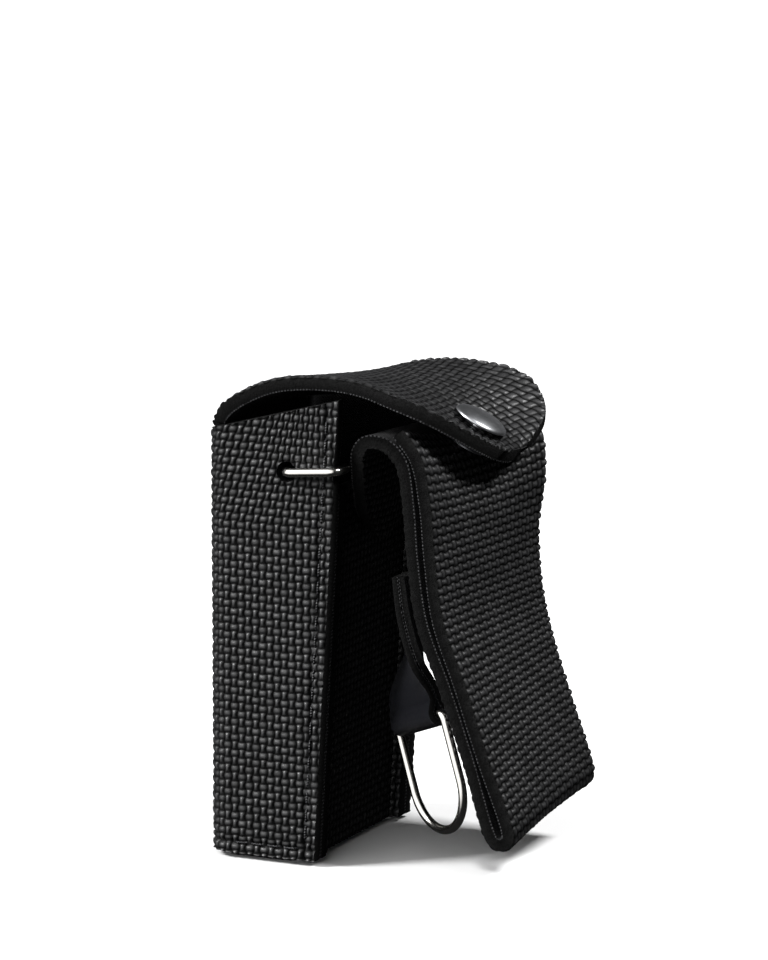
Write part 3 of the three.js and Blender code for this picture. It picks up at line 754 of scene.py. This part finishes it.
def make_bottom_panel():
    """A tray turned upside down: lining up and outwards, skin in the hollow under it."""
    step = PITCH / len(PHASES)
    outside = [
        (0.2, 0.0), (0.0, 0.5), (0.0, 4.0), (0.0, TRAY_TOP - 1.2), (0.4, TRAY_TOP - 0.3), (1.3, TRAY_TOP),
    ]
    outside += [(inset, TRAY_TOP) for inset in np.linspace(2.4, TRAY_MIDDLE, 9)]
    inside = [(FOAM, z) for z in np.arange(0.1, TRAY_FLANGE - 0.4, step)]
    inside += [(inset, TRAY_FLANGE) for inset in np.arange(FOAM + 0.4, TRAY_MIDDLE, step)]
    rim = [(share * (FOAM - 0.1) + 0.1, 0.25 * abs(2 * share - 1) ** 3) for share in EDGE_SHARES]
    build = Builder()
    for rows, finish in ((outside, LINING), (rim, EDGE), (inside, SKIN)):
        loops = []
        for inset, z in rows:
            x, y, angle = tray_outline(inset)
            loops.append(np.stack([x, y, np.full_like(x, z)], -1))
        points = np.array(loops)
        walls = points[..., 2] < TRAY_FLANGE - 0.2
        around = np.broadcast_to(angle * 22, points.shape[:2])
        s = np.where(walls, around, points[..., 0])
        t = np.where(walls, points[..., 2], points[..., 1])
        if finish == EDGE:
            s, t = around, np.broadcast_to(np.array(EDGE_SHARES)[::-1, None], around.shape)
        relief = None
        if finish == SKIN:
            height = weave(s, t)
            points[..., 2] -= 0.5 * (height - WEAVE_TOP) * ~walls
            # Weave height kept as the relief attribute, which the skin's finish turns into painted shade in
            # the grooves.
            relief = np.clip(height / WEAVE_TOP, 0, 1)
        build.grid(points, s, t, finish, relief, flip=finish != LINING)
    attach(foam_piece(build, "bottom_panel_tray", "bottom_panel"), "case")


# Snap --------------------

def snap_axes():
    """The snap's own x, y and z directions."""
    tilt = np.array([
        [1, 0, 0],
        [0, math.cos(SNAP_TILT), -math.sin(SNAP_TILT)],
        [0, math.sin(SNAP_TILT), math.cos(SNAP_TILT)],
    ])
    roll = np.array([
        [math.cos(SNAP_ROLL), 0, math.sin(SNAP_ROLL)],
        [0, 1, 0],
        [-math.sin(SNAP_ROLL), 0, math.cos(SNAP_ROLL)],
    ])
    return tilt @ roll


SNAP_AXES = snap_axes()


def to_snap(points):
    return (points - SNAP_CENTRE) @ SNAP_AXES


def from_snap(points):
    return points @ SNAP_AXES.T + SNAP_CENTRE


def press(radius, level, spread, reach, upward=False):
    """Presses points that lie near the snap's axis below a level, or above it."""
    sign = -1 if upward else 1

    def shape(points):
        own = to_snap(points)
        away = np.hypot(own[..., 0], own[..., 1])
        hold = 1 - smooth(radius, radius + spread, away)
        near = np.abs(own[..., 2] - level) < reach
        own[..., 2] -= sign * np.maximum(sign * (own[..., 2] - level), 0) * hold * near
        return from_snap(own), None

    return shape


def turned(name, outline, body, node, sides=72):
    """A turned pressing about the snap's axis, from an outline of (radius, height) points."""
    radius, height = np.array(outline, float).T
    angle = np.linspace(0, 2 * math.pi, sides + 1)
    a, r = np.meshgrid(angle, radius, indexing="ij")
    z = np.broadcast_to(height, a.shape)
    points = from_snap(np.stack([r * np.cos(a), r * np.sin(a), z], -1))
    build = Builder()
    build.grid(points, a * CAP_RADIUS, np.broadcast_to(np.arange(len(radius)), a.shape), 0)
    piece = build.piece(name, (DARK_NICKEL,))
    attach(piece, body)
    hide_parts(node)


def rounded(points, count=60):
    """The outline of a pressing with its corners eased."""
    line = curve([(r, 0, z) for r, z in points])
    eased = line(np.linspace(0, 1, count))
    return [(max(p[0], 0.0), p[2]) for p in eased]


def make_snap():
    cap = [
        (POST_RADIUS, -FOAM), (POST_RADIUS, -1.5), (POST_RADIUS + 0.1, CAP_SINK),
        (CAP_RADIUS - 0.6, CAP_SINK), (CAP_RADIUS, CAP_SINK + 0.35), (CAP_RADIUS - 0.25, 1.15),
        (CAP_RADIUS - 1.2, 1.75), (CAP_RADIUS - 2.8, 2.35), (2.6, 2.72), (0.0, 2.85),
    ]
    turned("snap_cap_dome", [(0, -FOAM)] + rounded(cap), "closing_flap", "snap_cap", 96)
    bore, lip, depth = 3.9, 0.6, 2.2
    top = SOCKET_TOP
    socket = [
        (POST_RADIUS + GAP, top), (POST_RADIUS + GAP, top - lip), (bore, top - lip - 0.1),
        (bore, top - depth), (bore + 0.5, top - depth - 0.15), (SOCKET_RADIUS - 0.5, top - depth),
        (SOCKET_RADIUS, top - depth + 0.5), (SOCKET_RADIUS, top - 0.1), (SOCKET_RADIUS - 0.3, top),
        (POST_RADIUS + GAP, top),
    ]
    turned("snap_socket_ring", socket, "closing_flap", "snap_socket")
    base, neck = STUD_BASE, 2.4
    stud = [
        (0, base), (STUD_RADIUS - 0.3, base), (STUD_RADIUS, base + 0.2), (STUD_RADIUS, base + 0.45),
        (STUD_RADIUS - 0.4, base + 0.7), (neck + 0.3, base + 0.75), (neck, base + 0.95),
        (neck + 0.4, base + 1.6), (neck + 0.2, base + 2.1), (neck - 0.5, base + 2.3), (0, base + 2.35),
    ]
    turned("snap_stud_head", stud, "belt_flap", "snap_stud")
    bottom = EYELET_TOP - EYELET_DEPTH
    eyelet = [
        (0, bottom), (EYELET_RADIUS - 0.3, bottom), (EYELET_RADIUS, bottom + 0.3),
        (EYELET_RADIUS - 0.2, EYELET_TOP), (POST_RADIUS, EYELET_TOP), (POST_RADIUS, base - GAP),
        (0, base - GAP),
    ]
    turned("snap_eyelet_disc", eyelet, "belt_flap", "snap_eyelet")


# Closing flap --------------------

def flap_face():
    """The outer face: it runs on from the back, arches over and dips to a rounded tip."""
    left = curve([
        (-FLAP_BASE, DEPTH, BACK_TOP), (-24.6, DEPTH, 118.2), (-27.4, 29, 122.6), (-29, 22, 127.5),
        (-29, 12, 131.6), (-29, -2, 133.2), (-29, -14, 132.3), (-28.8, -24, 129.3),
        (-24, -33.2, 124.6), (-14.5, -41, 117.6), (-4.5, -44.6, 112.4),
    ])
    middle = curve([
        (0, DEPTH, BACK_TOP), (0, DEPTH, 118.2), (0, 29.4, 121.6), (0, 23, 124.8), (0, 12, 127.8),
        (0, -2, 128.9), (0, -12, 127.6), (1, -20, 125.2), (2.5, -28, 121.6), (3, -36, 116.6),
        (1, -45, 111.8),
    ])
    right = curve([
        (FLAP_BASE, DEPTH, BACK_TOP), (24.3, DEPTH, 118.6), (25.6, 29, 121), (26.4, 20, 121.8),
        (26.5, 9, 124.6), (26.5, -3, 128.7), (26.5, -14, 130.5), (26.5, -25, 130.2),
        (26, -37, 127.2), (20.5, -44.6, 120.2), (5.5, -45.6, 111.7),
    ])
    return three_curves(left, middle, right), left, middle, right


def make_closing_flap():
    face, left, centre, right = flap_face()
    length, share_at = shares_by_length(centre)
    widest = FLAP_SIDE + 0.5
    yarns = round((WRAP_LENGTH / 2 - FLAP_SIDE) / PITCH)
    back_centre = (yarns + 0.5) * PITCH + FLAP_SIDE      # each side runs along the middle of a yarn
    places = steps(back_centre - widest, back_centre + widest, FINE_PHASES)
    downs = steps(BACK_TOP, BACK_TOP + length, FINE_PHASES)
    s, t = np.meshgrid(places, downs, indexing="ij")
    v = share_at(t - BACK_TOP)
    across = np.linalg.norm(right(v) - left(v), axis=-1)
    u = np.clip((s - back_centre) / across + 0.5, 0, 1)
    s = back_centre + (u - 0.5) * across
    outer = face(u, v)
    normal = surface_normals(face, u, v)
    if np.sum(normal[..., 2]) < 0:
        normal = -normal
    middle = outer - normal * FOAM / 2
    rim = (0.5 - np.abs(u - 0.5)) * across
    relief = FLAP_RELIEF + FLAP_RIM_RELIEF * np.exp(-(rim / FLAP_RIM) ** 2)
    build = Builder()
    cap_seat = press(CAP_RADIUS + 0.2, -CAP_SINK + 0.1, spread=1.6, reach=8)
    socket_seat = press(SOCKET_RADIUS, SOCKET_TOP + 0.1, spread=1.2, reach=8, upward=True)
    laminate(build, middle, normal, s, t, closed=("v0",), shape_skin=cap_seat,
             shape_lining=socket_seat, relief=relief, seed=4)
    piece = foam_piece(build, "closing_flap_sheet", "closing_flap")
    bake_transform(piece)


# Belt strip --------------------

def strip_line(x, outer, loop, leg):
    """Down the outer layer, round the bottom fold, up the inner layer, over the loop, down the leg."""
    outer = [np.array((x, y, z)) for y, z in outer]
    last = len(outer) - 1

    def direction(i):
        return unit(outer[min(last, i + 1)] - outer[max(0, i - 1)])

    def inward(i):
        along = direction(i)
        return np.array((0, -along[2], along[1]))

    reach = LAYER_PITCH[last - 1] / 2
    centre = outer[last] + inward(last) * reach
    fold = [
        centre - inward(last) * reach * math.cos(a) + direction(last) * reach * math.sin(a)
        for a in (math.radians(d) for d in (45, 90, 135))
    ]
    inner = [outer[i] + inward(i) * LAYER_PITCH[i - 1] for i in range(last, 0, -1)]
    loop = [np.array((x, y, z)) for y, z in loop]
    return curve(outer + fold + inner + loop + [np.array(p) for p in leg])


def strip_surface():
    near = strip_line(
        STRIP_NEAR,
        [(-24, 119.4), (-29, 112.8), (-31.6, 101), (-33, 86), (-35.4, 70), (-41.8, 53),
         (-48.5, 34), (-55.7, 15)],
        [(-21.4, 114.8), (-18, 116.2)],
        [(-28.4, -14.2, 115.8), (-27.8, -11.8, 113), (-26.2, -11, 108.5), (-24, -10.2, 104),
         (-20.5, -9, 99.5), (-15.5, -7.5, 94), (-5, -5.4, 87)],
    )
    centre = (STRIP_NEAR + STRIP_FAR) / 2
    middle = strip_line(
        centre,
        [(-26.4, 114.4), (-31.7, 110.2), (-35.2, 100), (-36.4, 86), (-37.7, 70.5), (-42.3, 54.5),
         (-48.8, 37), (-55.2, 18.6)],
        [(-22.6, 111.3), (-19.8, 114.4)],
        [(-0.7, -16, 115), (-0.7, -13, 112.8), (-0.7, -11.2, 108.3), (-0.7, -10.1, 103.7),
         (-0.7, -8.7, 98.5), (-0.7, -7.3, 93), (-0.7, -5.3, 86)],
    )
    far = strip_line(
        STRIP_FAR,
        [(-32.5, 117.3), (-38.8, 113.2), (-40.4, 102), (-38.4, 86), (-39.4, 70.5), (-42.7, 56),
         (-48.6, 38.6), (-54.9, 20.4)],
        [(-28.5, 113.2), (-22.4, 114.2)],
        [(26.9, -17.6, 114), (26.6, -13.8, 112), (25.2, -11.4, 108), (23.1, -10.2, 103.8),
         (19.1, -9, 99.5), (14.1, -7.5, 94), (3.6, -5.4, 87)],
    )
    return three_curves(near, middle, far), near, middle, far


def make_belt_strip():
    surface, near, centre, far = strip_surface()
    length, share_at = shares_by_length(centre)
    width = STRIP_FAR - STRIP_NEAR
    s, t = np.meshgrid(steps(0, width), steps(0, length), indexing="ij")
    v = share_at(t)
    across = np.abs(far(v)[..., 0] - near(v)[..., 0])
    u = np.clip((s - width / 2) / across + 0.5, 0, 1)
    s = width / 2 + (u - 0.5) * across
    middle = surface(u, v)
    normal = surface_normals(surface, u, v, 2e-4)
    if np.sum(normal[:, 10, 1]) > 0:
        normal = -normal

    build = Builder()
    stud_seat = press(SOCKET_RADIUS + 0.3, STUD_BASE - 0.1, spread=1.5, reach=3.5)
    eyelet_seat = press(EYELET_RADIUS, EYELET_TOP + 0.1, spread=1.0, reach=1.5, upward=True)
    laminate(build, middle, normal, s, t, shape_skin=stud_seat, shape_lining=eyelet_seat,
             crosswise=True, seed=5)
    piece = foam_piece(build, "belt_strip_sheet", "belt_flap", "belt_loop_leg")
    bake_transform(piece)


# Ring tab and wires --------------------

HANG = unit(HANG_WISH - BAR_DIRECTION * np.dot(HANG_WISH, BAR_DIRECTION))


def tab_surface():
    """Down the strap's front layer, round the D-ring's bar and up its back layer."""
    def line(points, across):
        bar = BAR_CENTRE + BAR_DIRECTION * across
        return curve(points + [bar - 6 * HANG, bar])

    near = line([(-26.7, -22.9, 80.5), (-26.9, -24.8, 69), (-27.1, -28.6, 58)], -TAB_HALF_WIDTH)
    middle = line([(-16, -24.4, 80.5), (-16.8, -23.9, 69), (-18.4, -24.4, 57.5)], 0)
    far = line([(-5.4, -25.8, 80.5), (-6.8, -22.9, 69), (-9.8, -19.6, 57)], TAB_HALF_WIDTH)
    hanging = three_curves(near, middle, far)
    face = np.cross(BAR_DIRECTION, HANG)
    layer = (1 - TAB_FOLD_SHARE) / 2

    def beside(u, down, side):
        spread = lerp(TAB_PITCH / 2, TAB_FOLD_RADIUS, smooth(TAB_OPENING, 1, down))
        return hanging(u, down) + surface_normals(hanging, u, down) * (side * spread)[..., None]

    def at(u, v):
        front = beside(u, np.clip(v / layer, 0, 1), 1)
        back = beside(u, np.clip((1 - v) / layer, 0, 1), -1)
        angle = (np.clip((v - layer) / TAB_FOLD_SHARE, 0, 1) * math.pi)[..., None]
        bar = BAR_CENTRE + BAR_DIRECTION * lerp(-TAB_HALF_WIDTH, TAB_HALF_WIDTH, u)[..., None]
        round_bar = bar + TAB_FOLD_RADIUS * (face * np.cos(angle) + HANG * np.sin(angle))
        points = np.where((v < layer)[..., None], front, round_bar)
        return np.where((v > 1 - layer)[..., None], back, points)

    return at


def make_ring_tab():
    surface = tab_surface()
    length, share_at = shares_by_length(lambda v: surface(np.full_like(v, 0.5), v))
    width = 2 * TAB_HALF_WIDTH
    u_places = np.linspace(0, width, 49)
    v_places = np.linspace(0, length, 241)
    u, v = np.meshgrid(u_places / width, share_at(v_places), indexing="ij")
    s, t = np.meshgrid(u_places, v_places, indexing="ij")
    middle = surface(u, v)
    build = Builder()
    laminate(build, middle, grid_normals(middle), s, t, thickness=TAB_THICKNESS, relief=0.0, seed=6)
    piece = build.piece("ring_tab_strap", (STRAP, FOAM_FINISHES[EDGE], STRAP))
    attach(piece, "ring_tab")
    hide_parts("ring_tab")


def rounded_loop(corners, radius, count):
    """A closed outline through corners with rounded turns, as evenly spaced points in a plane."""
    points = []
    for k, here in enumerate(corners):
        before, after = corners[k - 1], corners[(k + 1) % len(corners)]
        into, out = unit(here - before), unit(after - here)
        turn = math.acos(np.clip(np.dot(into, out), -1, 1))
        start = here - into * radius * math.tan(turn / 2)
        centre = here + unit(out - into) * radius / math.cos(turn / 2)
        side = start - centre
        sign = 1 if into[0] * out[1] - into[1] * out[0] > 0 else -1
        for a in np.linspace(0, sign * turn, 17):
            c, w = math.cos(a), math.sin(a)
            points.append(centre + np.array((side[0] * c - side[1] * w, side[0] * w + side[1] * c)))
    return evenly(np.array(points + points[:1]), count)


def wire(name, outline, place, body, sides=20):
    """Round wire along a closed outline; place puts the outline's plane into the case's place."""
    flat = np.concatenate([outline, np.zeros((len(outline), 1))], 1)
    tangent = np.roll(flat[:-1], -1, 0) - np.roll(flat[:-1], 1, 0)
    tangent = unit(np.vstack([tangent, tangent[:1]]))
    outward = np.stack([tangent[:, 1], -tangent[:, 0], np.zeros(len(tangent))], -1)
    angle = np.linspace(0, 2 * math.pi, sides + 1)
    a = angle[None, :, None]
    points = flat[:, None] + WIRE_RADIUS * (outward[:, None] * np.cos(a) + np.array((0, 0, 1)) * np.sin(a))
    build = Builder()
    build.grid(place(points), running_length(flat)[:, None], angle, 0)
    piece = build.piece(name, (NICKEL,))
    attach(piece, body)
    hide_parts(body)     # a wire is all there is of its body


def make_d_ring():
    """A straight bar with a round bow under it, in the plane that hangs from the bar."""
    half, drop = D_HALF_WIDTH, D_STRAIGHT
    bow = [(-half * math.cos(a), -drop - half * math.sin(a)) for a in np.linspace(0, math.pi, 65)]
    top_right = [(half - WIRE_CORNER * (1 - math.cos(a)), -WIRE_CORNER * (1 - math.sin(a)))
                 for a in np.linspace(0, math.pi / 2, 13)]
    top_left = [(-x, y) for x, y in top_right[::-1]]
    outline = evenly(np.array(bow + top_right + top_left + bow[:1]), 240)
    axes = np.array([BAR_DIRECTION, -HANG, np.cross(BAR_DIRECTION, -HANG)])
    wire("d_ring_wire", outline, lambda points: BAR_CENTRE + points @ axes, "d_ring")


def make_strap_ring(side, word):
    half = RING_HALF_WIDTH
    corners = [(half, RING_FRONT), (half, RING_BACK), (-half, RING_BACK), (-half, RING_FRONT)]
    outline = rounded_loop(np.array(corners), WIRE_CORNER, 160)
    c, w = math.cos(-RING_TILT), math.sin(-RING_TILT)

    def place(points):
        y = points[..., 1] - RING_BACK
        z = points[..., 2]
        return np.stack([
            points[..., 0] + side * GUSSET_MIDDLE, RING_BACK + y * c - z * w, RING_HEIGHT + y * w + z * c,
        ], -1)

    wire(f"{word}_strap_ring_wire", outline, place, f"{word}_strap_ring")


# Stitches --------------------

def add_stitches(build, line, normal):
    """Thread stitches along a line of points, each arching out of the foam and back into it."""
    lengths = running_length(line)
    count = int(lengths[-1] // STITCH_PITCH)
    start = (lengths[-1] - count * STITCH_PITCH) / 2
    angle = np.linspace(0, 2 * math.pi, 9)
    for k in range(count):
        q = np.linspace(0, 1, 11)
        place = start + k * STITCH_PITCH + (STITCH_PITCH - STITCH_LENGTH) / 2 + q * STITCH_LENGTH
        centre = np.stack([np.interp(place, lengths, line[:, c]) for c in range(3)], -1)
        centre = centre + normal * (STITCH_RISE - STITCH_DIVE * np.abs(2 * q - 1) ** 5)[:, None]
        along = unit(np.gradient(centre, axis=0))
        sideways = unit(np.cross(along, normal))
        rise = np.cross(sideways, along)
        ring = (sideways[:, None] * np.cos(angle)[None, :, None]
                + rise[:, None] * np.sin(angle)[None, :, None])
        points = centre[:, None] + ring * THREAD_RADIUS
        build.grid(points, place[:, None], angle / (2 * math.pi), 0)


def make_case_seams():
    """The stitches that hold the gussets to the front panel and to the bottom tray."""
    for side, word in ((-1, "left"), (1, "right")):
        build = Builder()
        x = side * (HALF_WIDTH - SEAM_DENT * 0.6)
        low = WALL_FOOT + SEAM_INSET
        z = np.linspace(low + 2, TOP_FRONT - 5, 200)
        front = np.stack([np.full_like(z, x), -LEAN * z + SEAM_INSET, z], -1)
        y = np.linspace(SEAM_INSET, CORNER_Y, 80)
        foot = np.stack([np.full_like(y, x), y, np.full_like(y, low)], -1)
        for line in (front, foot):
            add_stitches(build, line, np.array((side, 0, 0)))
        piece = build.piece(f"{word}_gusset_stitches", (THREAD,))
        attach(piece, "case")


def make_tab_stitches():
    """Two rows across the top of the tab's back layer."""
    surface = tab_surface()
    build = Builder()
    u = np.linspace(0.06, 0.94, 60)
    for down in (0.035, 0.09):
        v = np.full_like(u, 1 - down)
        outward = np.array((0, 1, 0))
        add_stitches(build, surface(u, v) + outward * (TAB_THICKNESS / 2 + 0.05), outward)
    piece = build.piece("ring_tab_stitches", (THREAD,))
    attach(piece, "ring_tab")


# Studio --------------------

def view_direction(azimuth, elevation):
    a, e = math.radians(azimuth), math.radians(elevation)
    return Vector((math.sin(a) * math.cos(e), -math.cos(a) * math.cos(e), math.sin(e)))


def aim(name, data, azimuth, elevation, distance, target):
    """Puts a camera or light at a distance from a target in some direction, looking back at it."""
    item = bpy.data.objects.new(name, data)
    bpy.context.scene.collection.objects.link(item)
    toward = view_direction(azimuth, elevation)
    item.location = Vector(target) + toward * distance
    item.rotation_mode = "QUATERNION"
    item.rotation_quaternion = (-toward).to_track_quat("-Z", "Y")
    return item


def make_camera():
    data = bpy.data.cameras.new("camera")
    data.sensor_width = SENSOR
    data.lens = SENSOR * CAMERA_DISTANCE / FRAME_HEIGHT
    data.clip_start = 0.05
    data.clip_end = 20
    bpy.context.scene.camera = aim(
        "camera", data, CAMERA_AZIMUTH, CAMERA_ELEVATION, CAMERA_DISTANCE, CAMERA_TARGET)


def lamp(name, kind, azimuth, elevation, **settings):
    data = bpy.data.lights.new(name, kind)
    for key, value in settings.items():
        setattr(data, key, value)
    aim(name, data, azimuth, elevation, 1.0, LIGHT_TARGET)


def make_floor():
    size = 6.0
    mesh = bpy.data.meshes.new("studio_floor")
    corners = [(-size, -size, 0), (size, -size, 0), (size, size, 0), (-size, size, 0)]
    mesh.from_pydata(corners, [], [(0, 1, 2, 3)])
    mesh.materials.append(floor_finish())
    floor = bpy.data.objects.new("studio_floor", mesh)
    bpy.context.scene.collection.objects.link(floor)
    floor.visible_diffuse = False      # it takes shadows and throws no light up
    floor.visible_glossy = False


def make_world():
    """White to the camera. To things it is a broad softbox in a dim room."""
    world = bpy.data.worlds.new("studio")
    world.use_nodes = True
    sky = Nodes(world.node_tree)
    place = sky.node("ShaderNodeTexCoord").outputs["Generated"]
    middle = view_direction(SOFTBOX_AZIMUTH, SOFTBOX_ELEVATION)
    facing = sky.node("ShaderNodeVectorMath", {0: place, 1: middle}, operation="DOT_PRODUCT")
    softbox = sky.node("ShaderNodeMapRange", {
        "Value": facing.outputs["Value"], "From Min": SOFTBOX_EDGE[0], "From Max": SOFTBOX_EDGE[1],
        "To Min": ROOM_LIGHT, "To Max": SOFTBOX_LIGHT,
    }, interpolation_type="SMOOTHSTEP")
    seen = sky.node("ShaderNodeMapRange", {
        "Value": sky.node("ShaderNodeLightPath").outputs["Is Camera Ray"],
        "To Min": softbox.outputs["Result"], "To Max": BACKDROP,
    })
    background = sky.tree.nodes["Background"]
    background.inputs["Color"].default_value = (1, 1, 1, 1)
    sky.give(background.inputs["Strength"], seen.outputs["Result"])
    bpy.context.scene.world = world


def make_studio():
    make_floor()
    make_world()
    lamp("key_left_back", "SUN", azimuth=-142, elevation=38, energy=4.3, angle=math.radians(14))
    lamp("high_front", "AREA", azimuth=0, elevation=50, energy=15, size=0.2)
    bpy.context.scene.view_settings.view_transform = "Standard"
    bpy.context.scene.view_settings.look = "None"


make_camera()
make_rear_wrap()
make_front_panel()
make_bottom_panel()
make_closing_flap()
make_belt_strip()
make_snap()
make_d_ring()
make_ring_tab()
make_strap_ring(-1, "left")
make_strap_ring(1, "right")
make_case_seams()
make_tab_stitches()
make_studio()
